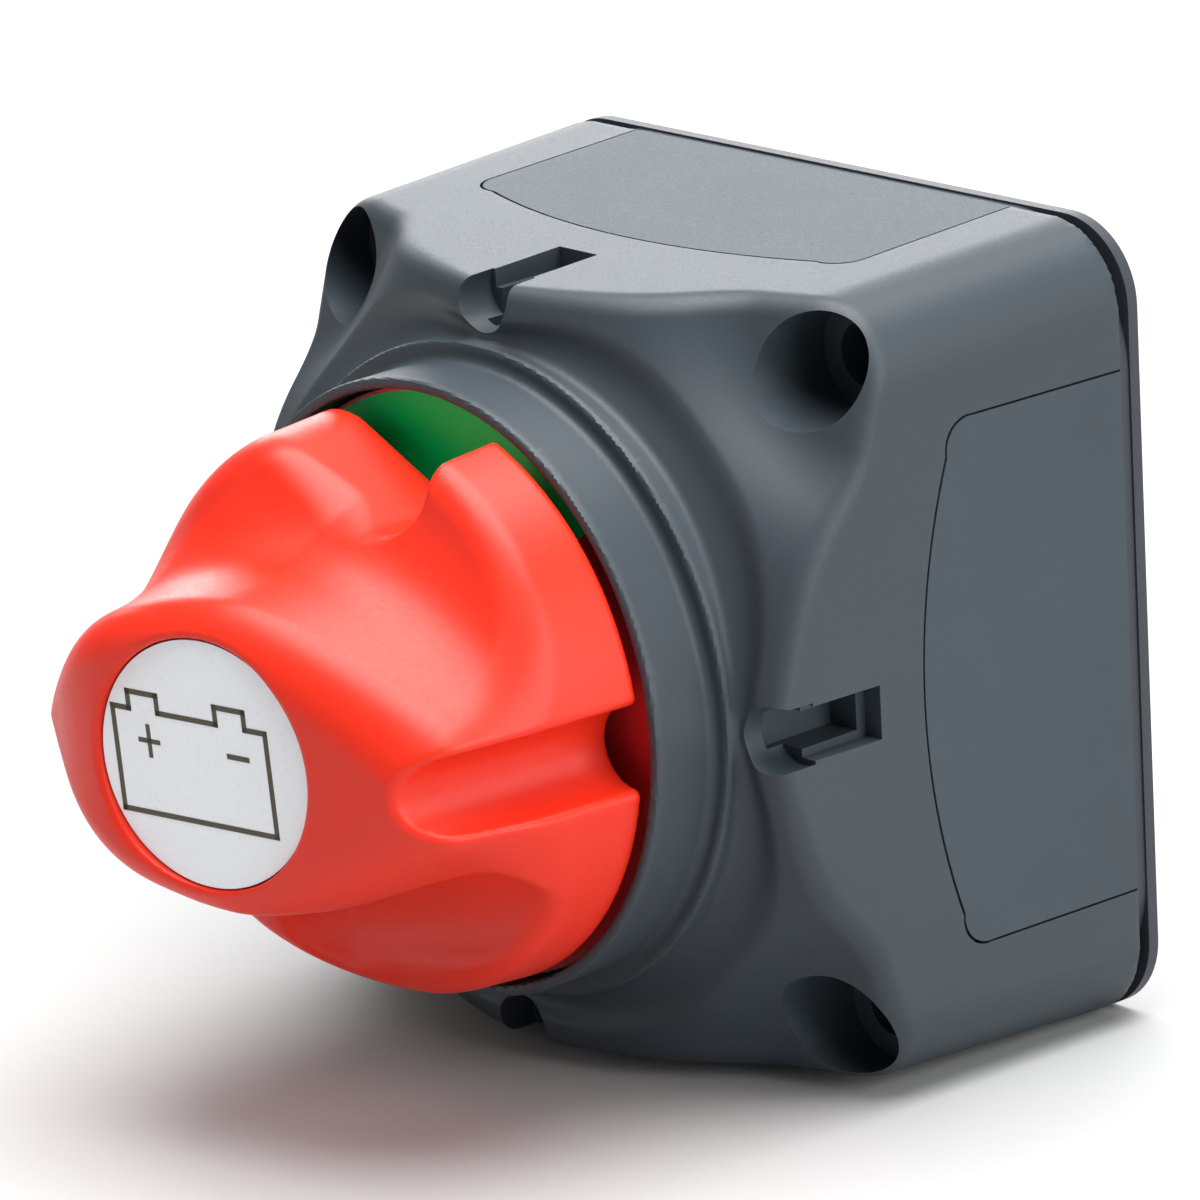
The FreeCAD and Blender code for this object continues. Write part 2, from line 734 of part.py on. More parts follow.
def parts():
    """Every piece of the switch by name."""
    panels = four_sides(side_panel())
    return {
        "front_housing": front_housing(),
        "rear_cover": rear_cover(),
        "side_panel_right": panels[0],
        "side_panel_top": panels[1],
        "side_panel_left": panels[2],
        "side_panel_bottom": panels[3],
        "indicator_disc": indicator_disc(),
        "indicator_green_sector": green_sector(),
        "knob": knob(),
        "knob_label": knob_label(),
        "knob_clip": knob_clip(),
        "spindle": spindle(),
        "shaft_seal": shaft_seal(),
        "retaining_ring": retaining_ring(),
        "contact_carrier": contact_carrier(),
        "contact_bridge": contact_bridge(),
        "contact_springs": contact_springs(),
        "detent_plungers": detent_plungers(),
        "detent_springs": detent_springs(),
        "terminal_base": terminal_base(),
        "base_gasket": base_gasket(),
        "fixed_contact_left": fixed_contact(-1),
        "fixed_contact_right": fixed_contact(1),
        "contact_pads": contact_pads(),
        "terminal_stud_left": terminal_stud(-1),
        "terminal_stud_right": terminal_stud(1),
        "flat_washers": flat_washers(),
        "lock_washers": lock_washers(),
        "stud_nuts": stud_nuts(),
        "base_screws": base_screws(),
    }


def export(name, shape):
    """Write one piece, or one group of equal pieces, after checking that it is sound."""
    solids = []
    for member in shape if isinstance(shape, list) else [shape]:
        solids += member.Solids
    for solid in solids:
        if not solid.isValid() or solid.Volume <= 0:
            raise ValueError("bad solid in " + name)
    body = solids[0] if len(solids) == 1 else Part.makeCompound(solids)
    body.exportStep(os.path.join("parts", name + ".step"))
    print(name, len(solids), round(sum(solid.Volume for solid in solids), 1))


os.makedirs("parts", exist_ok=True)
for part_name, part_shape in parts().items():
    export(part_name, part_shape)
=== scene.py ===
"""Looks of a rotary battery isolator switch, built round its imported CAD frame.

The front housing and the knob are sculpted as distance fields in millimetres and meshed here.
Every other piece is its CAD node with a procedural material. The battery pictogram is thin ink
geometry that lies on the knob's label. -Y is the front and +Z is up.
"""
import math

import bpy
import bmesh
import numpy as np
from mathutils import Matrix, Vector


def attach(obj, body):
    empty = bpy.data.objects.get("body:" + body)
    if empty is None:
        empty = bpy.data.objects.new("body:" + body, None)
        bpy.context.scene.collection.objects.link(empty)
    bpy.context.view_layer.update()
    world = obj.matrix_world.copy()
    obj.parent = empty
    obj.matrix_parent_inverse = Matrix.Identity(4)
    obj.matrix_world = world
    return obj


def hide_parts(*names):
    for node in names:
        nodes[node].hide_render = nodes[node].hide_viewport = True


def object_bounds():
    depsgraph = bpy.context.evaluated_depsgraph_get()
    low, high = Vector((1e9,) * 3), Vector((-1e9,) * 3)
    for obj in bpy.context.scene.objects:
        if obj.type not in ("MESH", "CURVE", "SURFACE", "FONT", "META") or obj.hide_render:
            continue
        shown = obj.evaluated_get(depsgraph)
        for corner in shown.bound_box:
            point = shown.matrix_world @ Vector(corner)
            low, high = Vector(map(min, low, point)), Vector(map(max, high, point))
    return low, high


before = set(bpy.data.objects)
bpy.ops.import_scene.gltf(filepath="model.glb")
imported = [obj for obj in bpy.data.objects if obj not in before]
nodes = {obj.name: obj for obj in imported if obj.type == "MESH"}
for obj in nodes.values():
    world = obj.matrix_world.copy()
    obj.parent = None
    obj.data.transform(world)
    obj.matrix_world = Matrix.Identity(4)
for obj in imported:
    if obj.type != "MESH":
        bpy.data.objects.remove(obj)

MM = 0.001
cad_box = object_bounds()

# ---- Main sizes, in millimetres, as in the CAD ------------------------------------------

HALF = 34.5                  # half the housing's side at its back
SIDE_CORNER = 7.0
DRAFT = 1.2 / 26.8           # lean of the four sides
REAR = -2.2
RING_FRONT, RING_R = -42.0, 27.9
COLLAR_FRONT, COLLAR_R, COLLAR_BORE = -48.2, 26.2, 25.2
RECESS_FLOOR = -44.6
HOLE, BORE_R, BORE_FLOOR, SCREW_R = 27.8, 4.7, -24.7, 2.75
SKIRT_R, SKIRT_REAR, WALL_DRAFT = 24.7, -48.4, 0.078
HANDLE_HALF, HANDLE_WIDTH = 23.5, 12.9
LABEL_R, LABEL_FRONT, LABEL_SLOPE = 10.4, -74.0, math.radians(12)
HUB_R, HUB_REAR, DRIVE = 7.4, -46.6, 3.55
WALL, CAVITY_FRONT, POST_R = 3.3, -24.5, 7.0
CHAMBER_R, CHAMBER_FRONT = 20.0, -41.5
POCKET_R, POCKET_FRONT = 29.5, -28.2
SHAFT_BORE_R = 6.05
BASE_SCREW_R, BASE_SCREW_CIRCLE, BASE_SCREW_FRONT = 1.8, 25.0, -36.0
NOTCH_R, NOTCH_CENTRE, NOTCH_FRONT = 2.3, 18.3, -35.9
PANEL_HALF, PANEL_FRONT, PANEL_CORNER, PANEL_BOW = 22.6, -21.9, 3.0, 3.4
PANEL_REBATE, PLUG_INSET, PLUG_DEPTH = 2.0, 1.8, 5.3
SLOT_FRONT, SLOT_REAR, SLOT_HALF, SLOT_LEDGE = -40.0, -30.0, 2.3, 31.4
CHANNEL_FRONT, CHANNEL_REAR, CHANNEL_HALF, CHANNEL_FLOOR = -39.0, -31.0, 1.6, 28.4
WELL_R, WELL_CENTRE, WELL_FLOOR = 2.9, 31.6, -37.2
WINDOW_X, WINDOW_Z, WINDOW_R = 5.2, 20.2, 3.7
WINDOW_HALF_FLARE, WINDOW_HEADING = math.radians(32), math.radians(122)
GROOVE_R, GROOVE_AXIS = 3.5, 24.0
HOLLOW_FRONT, KNOB_WALL = -66.0, 2.4
MOST_TRIANGLES = 190000      # in the knob; the housing's later cuts add more, so it starts lower
HOUSING_TRIANGLES = 165000
CORNERS = [(sx, sz) for sx in (1, -1) for sz in (1, -1)]
LEAN = 0.09                  # the pictogram leans a little to the left


# ---- Distance fields --------------------------------------------------------------------

def meet(a, b, r):
    """Common part of two solids, with the edge between them rounded to radius r."""
    return np.minimum(np.maximum(a, b), -r) + np.hypot(np.maximum(a + r, 0), np.maximum(b + r, 0))


def join(a, b, r):
    """Both solids together, with a fillet of radius r between them."""
    return -meet(-a, -b, r)


def cut(a, b, r):
    """Solid a without b, with rounded edges."""
    return meet(a, -b, r)


def soft_min(a, b, k):
    """Both solids together, blended over the distance k."""
    h = np.maximum(k - np.abs(a - b), 0) / k
    return np.minimum(a, b) - h * h * k / 4


def soft_max(a, b, k):
    """Common part of two solids, blended over the distance k."""
    return -soft_min(-a, -b, k)


def rect(u, v, half_u, half_v):
    """Distance to a rectangle about the origin."""
    du, dv = np.abs(u) - half_u, np.abs(v) - half_v
    return np.hypot(np.maximum(du, 0), np.maximum(dv, 0)) + np.minimum(np.maximum(du, dv), 0)


def front_height(x, z):
    """y of the housing's front: a cross-shaped drum that falls in concave sweeps to the corners."""
    ax, az = np.abs(x), np.abs(z)
    u, v = ax + az, np.abs(ax - az)
    outer = u - 33.5
    top = -41.3 + 0.25 * 0.5 * (outer + np.hypot(outer, 2.0))
    spread = 0.7 + 0.9 * (v / 20) ** 2
    sweep = -38.9 + (u - 44.5) / spread
    drum = soft_max(top, sweep, 3.0)
    shoulder = -31.0 + 0.3 * (u - 2 * HOLE)
    return soft_min(drum, shoulder, 3.4)


def housing(x, y, z):
    """Distance to the outside of the front housing."""
    ax, az = np.abs(x), np.abs(z)
    r = np.hypot(x, z)
    half = HALF - DRAFT * (REAR - y)
    side = rect(x, z, half - SIDE_CORNER, half - SIDE_CORNER) - SIDE_CORNER
    e = 0.05
    height = front_height(x, z)
    rise_x = (front_height(x + e, z) - height) / e
    rise_z = (front_height(x, z + e) - height) / e
    lean = 1 / np.sqrt(1 + rise_x ** 2 + rise_z ** 2)
    turn = 2 * ax * az / (r * r + 1e-6)
    body = meet(side, (height - y) * lean, 0.9 + 0.6 * np.clip(turn * 1.4, 0, 1))
    cove_r = 0.5 + 3.1 * turn ** 1.2
    cove = np.hypot(r - RING_R - cove_r, y + 41.5) - cove_r
    body = cut(body, cove, 0.8)
    body = join(body, meet(r - RING_R, RING_FRONT - y, 0.4), 0.4)
    body = join(body, meet(r - COLLAR_R, COLLAR_FRONT - y, 0.45), 0.8)
    body = cut(body, np.maximum(r - COLLAR_BORE, y - RECESS_FLOOR), 0.35)
    return np.maximum(body, y - REAR)


def handle_half_width(x):
    """Half the eye shape's width: an arc on the left, an ogee on the right."""
    arc_r = (HANDLE_HALF ** 2 + HANDLE_WIDTH ** 2) / (2 * HANDLE_WIDTH)
    left = np.sqrt(np.maximum(arc_r ** 2 - x * x, 1)) - arc_r + HANDLE_WIDTH
    right = HANDLE_WIDTH * (1 - (np.maximum(x, 0) / HANDLE_HALF) ** 1.6)
    return np.where(x > 0, right, left)


def knob(x, y, z):
    """Distance to the knob: skirt, dome with thumb scoops, handle, window, groove and hub."""
    az, r = np.abs(z), np.hypot(x, z)
    wall = r - SKIRT_R + WALL_DRAFT * (SKIRT_REAR - y)
    t = np.clip((3 - x) / 17, 0, 1)
    t = t * t * (3 - 2 * t)
    dome = (-55.7 - 3.6 * t - (24.0 - r) * (0.07 + 0.58 * t) - y) * (1 - 0.16 * t)
    width = handle_half_width(x)
    e = 0.1
    slope = (handle_half_width(x + e) - width) / e
    draft = 0.16 + 0.22 * np.clip(x / 20, 0, 1)
    flank = (az - width - draft * np.maximum(y + 73, 0)) / np.sqrt(1 + slope * slope + draft * draft)
    face = (-73.9 + 0.21 * x - y) * 0.98
    tip = (-76.6 - 0.47 * (x + 12) - y) * 0.905
    top = soft_max(face, tip, 3.0)
    bar = meet(flank, top, 3.8)
    body = soft_min(dome, bar, 8.0 - 3.0 * t)
    share = np.clip((x + 2) / 21, 0, 1)
    spoon = np.sqrt((x + 2 - 21 * share) ** 2 + (y + 62.6 - share) ** 2 + (z + 20.0 - 5.5 * share) ** 2) - 6.2
    body = cut(body, spoon, 0.5)
    body = meet(body, wall, 2.0 + 0.6 * t)
    cos_h, sin_h = math.cos(WINDOW_HALF_FLARE), math.sin(WINDOW_HALF_FLARE)
    cos_b, sin_b = math.cos(WINDOW_HEADING), math.sin(WINDOW_HEADING)
    wx, wz = x - WINDOW_X, z - WINDOW_Z
    along = wx * cos_b + wz * sin_b
    off = np.abs(-wx * sin_b + wz * cos_b)
    wedge = np.where(along * cos_h + off * sin_h > 0,
                     off * cos_h - along * sin_h, np.hypot(along, off)) - WINDOW_R
    body = cut(body, wedge, 0.6 + 1.4 * np.clip((4.5 - x) / 4, 0, 1))
    axis_x = GROOVE_AXIS - WALL_DRAFT * (SKIRT_REAR - y)
    body = cut(body, np.hypot(x - axis_x, z) - GROOVE_R, 0.8)
    inward = -x * math.sin(LABEL_SLOPE) + (y - LABEL_FRONT) * math.cos(LABEL_SLOPE)
    sideways = x * math.cos(LABEL_SLOPE) + (y - LABEL_FRONT) * math.sin(LABEL_SLOPE)
    seat = np.maximum(np.hypot(sideways, z) - LABEL_R - 0.15, inward - 1.8)
    body = cut(body, seat, 0.7)
    hollow = np.maximum(body + KNOB_WALL, HOLLOW_FRONT - y)
    shell = np.maximum(meet(body, y - SKIRT_REAR, 0.3), -hollow)
    hub = np.maximum(np.maximum(r - HUB_R, y - HUB_REAR), -68.0 - y)
    solid = np.minimum(shell, hub)
    square = np.maximum(np.abs(x), az)
    solid = np.maximum(solid, -np.maximum(square - DRIVE, -63.3 - y))
    clip = np.maximum(square - 5.6, np.abs(y + 57.55) - 0.55)
    return np.maximum(solid, -clip)


# ---- Meshing ----------------------------------------------------------------------------

def steps(*spans):
    """Grid lines through spans of (start, end, step)."""
    lines = [np.arange(a, b - 1e-6, s) for a, b, s in spans] + [np.array([spans[-1][1]])]
    return np.concatenate(lines).astype(np.float32)


def surface_net(field, xs, ys, zs):
    """Points and four-sided faces of a distance field's surface on a grid."""
    value = field(xs[:, None, None], ys[None, :, None], zs[None, None, :]).astype(np.float32)
    inside = value < 0
    count = np.zeros([n - 1 for n in inside.shape], np.uint8)
    for a in (0, 1):
        for b in (0, 1):
            for c in (0, 1):
                count += inside[a:a + count.shape[0], b:b + count.shape[1], c:c + count.shape[2]]
    cells = (count > 0) & (count < 8)
    index = np.full(cells.shape, -1, np.int64)
    i, j, k = np.nonzero(cells)
    index[i, j, k] = np.arange(len(i))
    total = np.zeros((len(i), 3))
    hits = np.zeros(len(i))
    corner = [(a, b, c) for a in (0, 1) for b in (0, 1) for c in (0, 1)]
    for s in corner:
        for t in corner:
            if sum(t) - sum(s) == 1 and all(q >= p for p, q in zip(s, t)):
                f0 = value[i + s[0], j + s[1], k + s[2]]
                f1 = value[i + t[0], j + t[1], k + t[2]]
                m = (f0 < 0) != (f1 < 0)
                w = np.where(m, f0 / np.where(m, f0 - f1, 1), 0)
                p0 = np.stack([xs[i + s[0]], ys[j + s[1]], zs[k + s[2]]], 1)
                p1 = np.stack([xs[i + t[0]], ys[j + t[1]], zs[k + t[2]]], 1)
                total += m[:, None] * (p0 + (p1 - p0) * w[:, None])
                hits += m
    points = total / hits[:, None]
    low = np.stack([xs[i], ys[j], zs[k]], 1)
    high = np.stack([xs[i + 1], ys[j + 1], zs[k + 1]], 1)
    faces = []
    for axis in range(3):
        a0 = [slice(1, -1)] * 3
        a1 = [slice(1, -1)] * 3
        a0[axis], a1[axis] = slice(0, -1), slice(1, None)
        change = inside[tuple(a0)] != inside[tuple(a1)]
        e = np.nonzero(change)
        entering = inside[tuple(a1)][e]
        cell = [e[0] + 1, e[1] + 1, e[2] + 1]
        cell[axis] = e[axis]
        u, v = (axis + 1) % 3, (axis + 2) % 3
        ring = []
        for du, dv in ((1, 1), (0, 1), (0, 0), (1, 0)):
            c = list(cell)
            c[u] = c[u] - du
            c[v] = c[v] - dv
            ring.append(index[tuple(c)])
        quad = np.stack(ring, 1)
        quad[entering] = quad[entering][:, ::-1]
        faces.append(quad)
    return points, low, high, np.concatenate(faces)


def settle(field, points, low, high):
    """Moves points onto the surface, without leaving their grid cells."""
    e = 0.02
    for _ in range(3):
        x, y, z = points.T
        d = field(x, y, z)
        g = np.stack([field(x + e, y, z) - field(x - e, y, z), field(x, y + e, z) - field(x, y - e, z),
                      field(x, y, z + e) - field(x, y, z - e)], 1) / (2 * e)
        size = np.maximum((g * g).sum(1), 0.2)
        points = np.clip(points - g * (d / size)[:, None], low, high)
    return points


def mesh_object(name, points, faces):
    """Object from points in millimetres and equal-sided faces."""
    mesh = bpy.data.meshes.new(name)
    mesh.vertices.add(len(points))
    mesh.vertices.foreach_set("co", (points * MM).astype(np.float32).ravel())
    n = faces.shape[1]
    mesh.loops.add(faces.size)
    mesh.loops.foreach_set("vertex_index", faces.astype(np.int32).ravel())
    mesh.polygons.add(len(faces))
    mesh.polygons.foreach_set("loop_start", np.arange(0, faces.size, n, dtype=np.int32))
    mesh.update(calc_edges=True)
    mesh.validate()
    piece = bpy.data.objects.new(name, mesh)
    bpy.context.scene.collection.objects.link(piece)
    return piece


def sculpt(name, field, xs, ys, zs):
    """Object with the surface of a distance field."""
    points, low, high, faces = surface_net(field, xs, ys, zs)
    return mesh_object(name, settle(field, points, low, high), faces)


def apply_modifiers(piece):
    """Makes the result of a piece's modifiers its own mesh."""
    graph = bpy.context.evaluated_depsgraph_get()
    mesh = bpy.data.meshes.new_from_object(piece.evaluated_get(graph))
    piece.modifiers.clear()
    piece.data = mesh


def cut_away(piece, tool):
    """Cuts a closed tool out of a piece and removes the tool."""
    m = piece.modifiers.new("cut", "BOOLEAN")
    m.operation = "DIFFERENCE"
    m.solver = "MANIFOLD"
    m.object = tool
    apply_modifiers(piece)
    bpy.data.objects.remove(tool)


def thin_out(piece, most):
    """Merges flat areas' triangles until the piece has at most that many."""
    piece.data.calc_loop_triangles()
    have = len(piece.data.loop_triangles)
    if have > most:
        m = piece.modifiers.new("thin", "DECIMATE")
        m.ratio = most / have
        apply_modifiers(piece)


def smooth(piece, degrees):
    """Smooth shading that keeps edges sharper than the angle."""
    piece.data.shade_smooth()
    piece.data.set_sharp_from_angle(angle=math.radians(degrees))


def solid_between(name, near, far):
    """Closed solid between two outlines with the same number of points."""
    bm = bmesh.new()
    rings = [[bm.verts.new(point) for point in outline] for outline in (near, far)]
    n = len(near)
    for a in range(n):
        b = (a + 1) % n
        bm.faces.new((rings[0][a], rings[1][a], rings[1][b], rings[0][b]))
    bm.faces.new(rings[0])
    bm.faces.new(rings[1][::-1])
    bmesh.ops.recalc_face_normals(bm, faces=bm.faces)
    mesh = bpy.data.meshes.new(name)
    bm.to_mesh(mesh)
    bm.free()
    tool = bpy.data.objects.new(name, mesh)
    bpy.context.scene.collection.objects.link(tool)
    return tool


def prism(name, outline, y0, y1):
    """Closed prism along Y over an outline of (x, z) points, in millimetres."""
    return solid_between(name, *[[(x * MM, y * MM, z * MM) for x, z in outline] for y in (y0, y1)])


def circle(r, x=0.0, z=0.0, n=96):
    """Outline of a circle with n corners."""
    turns = [2 * math.pi * a / n for a in range(n)]
    return [(x + r * math.cos(t), z + r * math.sin(t)) for t in turns]


def rounded_square(half, corner):
    """Outline of a square with round corners."""
    flat = half - corner
    outline = []
    for quarter, (sx, sz) in enumerate(((1, 1), (-1, 1), (-1, -1), (1, -1))):
        for step in range(13):
            a = math.radians(90 * quarter + 7.5 * step)
            outline.append((sx * flat + corner * math.cos(a), sz * flat + corner * math.sin(a)))
    return outline


def panel_outline(inset):
    """(y, s) outline of a side panel's window, s along the side."""
    half, front, corner = PANEL_HALF - inset, PANEL_FRONT + inset, PANEL_CORNER
    points = [(1.0, -half), (front + corner, -half)]
    bulge = front + corner * 0.25
    low = arc_points((front + corner, -half), (bulge, -half + corner * 0.25), (front, -half + corner), 8)
    bow = arc_points((front, -half + corner), (front - PANEL_BOW, 0), (front, half - corner), 48)
    high = arc_points((front, half - corner), (bulge, half - corner * 0.25), (front + corner, half), 8)
    return points + low[1:] + bow[1:] + high[1:] + [(1.0, half)]


def arc_points(a, b, c, n):
    """n + 1 points on the arc from a through b to c."""
    (ax, ay), (bx, by), (cx, cy) = a, b, c
    d = 2 * (ax * (by - cy) + bx * (cy - ay) + cx * (ay - by))
    aa, bb, cc = ax * ax + ay * ay, bx * bx + by * by, cx * cx + cy * cy
    ux = (aa * (by - cy) + bb * (cy - ay) + cc * (ay - by)) / d
    uy = (aa * (cx - bx) + bb * (ax - cx) + cc * (bx - ax)) / d
    t0, t1, t2 = (math.atan2(p[1] - uy, p[0] - ux) for p in (a, b, c))
    turn = (t2 - t0 + math.pi) % (2 * math.pi) - math.pi
    if (t1 - t0) * turn < 0 and abs(t1 - t0) < math.pi:
        turn -= math.copysign(2 * math.pi, turn)
    r = math.hypot(ax - ux, ay - uy)
    angles = [t0 + turn * step / n for step in range(n + 1)]
    return [(ux + r * math.cos(t), uy + r * math.sin(t)) for t in angles]


def side_prism(name, outline, deep, quarter):
    """Prism through one side over a (y, s) outline, from depth deep to beyond the side."""
    turn = Matrix.Rotation(-math.radians(90 * quarter), 4, "Y")
    beyond = HALF + 2.5
    return solid_between(name, *[[turn @ Vector((x * MM, y * MM, s * MM)) for y, s in outline]
                                 for x in (deep, beyond)])


def side_box(name, y0, y1, half, deep, quarter):
    """Square-cut pocket in one side, from depth deep outwards."""
    return side_prism(name, [(y0, -half), (y1, -half), (y1, half), (y0, half)], deep, quarter)


# ---- Materials --------------------------------------------------------------------------

class Shader:
    """Small helper round a node tree."""

    def __init__(self, name):
        self.material = bpy.data.materials.new(name)
        self.material.use_nodes = True
        self.tree = self.material.node_tree
        self.bsdf = self.tree.nodes["Principled BSDF"]
        self.place = self.tree.nodes.new("ShaderNodeTexCoord").outputs["Object"]

    def node(self, kind, inputs=None, **settings):
        n = self.tree.nodes.new(kind)
        for key, value in settings.items():
            setattr(n, key, value)
        for key, value in (inputs or {}).items():
            if isinstance(value, bpy.types.NodeSocket):
                self.tree.links.new(value, n.inputs[key])
            else:
                n.inputs[key].default_value = value
        return n

    def noise(self, size_mm, detail=2.0, rough=0.5):
        return self.node("ShaderNodeTexNoise", {"Vector": self.place, "Scale": 1000 / size_mm,
                                                "Detail": detail, "Roughness": rough}).outputs["Fac"]

    def spread(self, value, low, high, from_low=0.3, from_high=0.7):
        return self.node("ShaderNodeMapRange", {"Value": value, "From Min": from_low, "From Max": from_high,
                                                "To Min": low, "To Max": high}).outputs["Result"]

    def blend(self, factor, a, b):
        n = self.node("ShaderNodeMix", {"Factor": factor}, data_type="RGBA")
        for key, value in (("A", a), ("B", b)):
            socket = [s for s in n.inputs if s.name == key and s.type == "RGBA"][0]
            if isinstance(value, bpy.types.NodeSocket):
                self.tree.links.new(value, socket)
            else:
                socket.default_value = value
        return [s for s in n.outputs if s.type == "RGBA"][0]

    def set(self, **sockets):
        for key, value in sockets.items():
            socket = self.bsdf.inputs[key.replace("_", " ")]
            if isinstance(value, bpy.types.NodeSocket):
                self.tree.links.new(value, socket)
            else:
                socket.default_value = value

    def bump(self, height, strength, depth_mm, normal=None):
        inputs = {"Height": height, "Strength": strength, "Distance": depth_mm * MM}
        if normal is not None:
            inputs["Normal"] = normal
        return self.node("ShaderNodeBump", inputs).outputs["Normal"]


def linear(r, g, b):
    """Colour from sRGB values of 0 to 255."""
    def one(c):
        c = c / 255
        return c / 12.92 if c < 0.04045 else ((c + 0.055) / 1.055) ** 2.4
    return (one(r), one(g), one(b), 1.0)


def shade(colour, k):
    return tuple(min(1.0, c * k) for c in colour[:3]) + (1.0,)


def plastic(name, colour, rough, grain_mm, grain, swing=0.06, edge_highlight_and_wear=0.25, specular=0.5, subsurface=0.0):
    """Moulded plastic: fine mould grain, faint flow shading, and convex edges painted paler, partly as rubbed
    wear and partly as a painted edge highlight.
    """
    s = Shader(name)
    fine = s.noise(grain_mm, 3.0, 0.6)
    speck = s.noise(grain_mm * 0.45, 1.0)
    broad = s.noise(14.0, 3.0)
    base = s.blend(s.spread(broad, 0, 1), shade(colour, 1 - swing), shade(colour, 1 + swing))
    base = s.blend(s.spread(speck, 0, 0.5, 0.35, 0.75), base, shade(colour, 1 + 1.6 * swing))
    # Convex edges, found by pointiness, are painted paler. This is partly rubbed wear and partly a painted
    # highlight that stands in for light on rounded edges.
    edge = s.node("ShaderNodeNewGeometry").outputs["Pointiness"]
    edge_highlight_and_wear_mask = s.spread(edge, 0, edge_highlight_and_wear, 0.515, 0.56)
    base = s.blend(edge_highlight_and_wear_mask, base, shade(colour, 1.35))
    s.set(Base_Color=base, Roughness=s.spread(fine, rough - 0.05, rough + 0.07),
          Normal=s.bump(fine, grain, 0.02, s.bump(speck, grain * 0.6, 0.008)))
    s.bsdf.inputs["Specular IOR Level"].default_value = specular
    if subsurface:
        s.bsdf.inputs["Subsurface Weight"].default_value = subsurface
        s.bsdf.inputs["Subsurface Radius"].default_value = (0.0012, 0.0004, 0.0002)
        s.bsdf.inputs["Subsurface Scale"].default_value = 1.0
    return s.material


def metal(name, colour, rough, scratch_mm=0.35):
    """Plated or machined metal with fine turning marks and slight tarnish."""
    s = Shader(name)
    lines = s.node("ShaderNodeTexNoise", {"Vector": s.node("ShaderNodeMapping", {
        "Vector": s.place, "Scale": (1.0, 8.0, 1.0)}).outputs["Vector"], "Scale": 1000 / scratch_mm,
        "Detail": 2.0}).outputs["Fac"]
    tarnish = s.noise(5.0, 4.0)
    s.set(Base_Color=s.blend(s.spread(tarnish, 0, 1), shade(colour, 0.86), shade(colour, 1.05)),
          Metallic=1.0, Roughness=s.spread(tarnish, rough, rough + 0.14), Normal=s.bump(lines, 0.15, 0.01))
    return s.material


def dress(name, material):
    """Gives a CAD node its finished material."""
    slots = nodes[name].data.materials
    if len(slots) == 0:
        slots.append(material)
    for i in range(len(slots)):
        slots[i] = material


slate = linear(46, 55, 62)
housing_plastic = plastic("housing_plastic", slate, 0.50, 0.22, 0.32, 0.05, 0.22, 0.45)
panel_plastic = plastic("panel_plastic", linear(51, 61, 68), 0.60, 0.30, 0.75, 0.07, 0.15, 0.40)
cover_plastic = plastic("cover_plastic", linear(44, 49, 55), 0.52, 0.25, 0.35, 0.06, 0.2, 0.45)
knob_plastic = plastic("knob_plastic", linear(218, 41, 18), 0.38, 0.35, 0.07, 0.025, 0.10, 0.32, 0.05)
red_plastic = plastic("indicator_red", linear(196, 30, 34), 0.45, 0.3, 0.12)
green_plastic = plastic("indicator_green", linear(0, 235, 112), 0.42, 0.3, 0.10, 0.04, 0.0, 0.2)
label_plastic = plastic("label_white", linear(236, 239, 243), 0.3, 0.5, 0.006, 0.004, 0.0)
spindle_plastic = plastic("spindle_plastic", linear(36, 37, 40), 0.40, 0.3, 0.2)
base_plastic = plastic("base_plastic", linear(30, 31, 34), 0.55, 0.3, 0.4)
rubber = plastic("seal_rubber", linear(22, 22, 24), 0.75, 0.5, 0.2)
ink = plastic("label_ink", linear(70, 64, 48), 0.5, 0.2, 0.05)
steel = metal("zinc_steel", linear(196, 200, 204), 0.28)
spring = metal("spring_steel", linear(170, 172, 176), 0.22)
brass = metal("brass", linear(214, 180, 110), 0.26)
copper = metal("copper", linear(206, 128, 92), 0.3)
silver = metal("silver", linear(226, 226, 222), 0.2)

finish = {
    "side_panel_right": panel_plastic, "side_panel_top": panel_plastic, "side_panel_left": panel_plastic,
    "side_panel_bottom": panel_plastic, "rear_cover": cover_plastic, "indicator_disc": red_plastic,
    "indicator_green_sector": green_plastic, "knob_label": label_plastic, "knob_clip": spring,
    "spindle": spindle_plastic, "shaft_seal": rubber, "retaining_ring": spring,
    "contact_carrier": base_plastic, "contact_bridge": copper, "contact_springs": spring,
    "detent_plungers": steel, "detent_springs": spring, "terminal_base": base_plastic, "base_gasket": rubber,
    "fixed_contact_left": copper, "fixed_contact_right": copper, "contact_pads": silver,
    "terminal_stud_left": brass, "terminal_stud_right": brass, "stud_nuts": steel, "flat_washers": steel,
    "lock_washers": spring, "base_screws": steel, "front_housing": housing_plastic, "knob": knob_plastic}
for node_name, material in finish.items():
    dress(node_name, material)


# ---- Front housing ----------------------------------------------------------------------

wide = steps((-34.9, 34.9, 0.37))
body = sculpt("housing_shell", housing, wide,
              steps((-48.6, -23.6, 0.34), (-23.6, -3.4, 2.02), (-3.4, -1.4, 0.5)), wide)

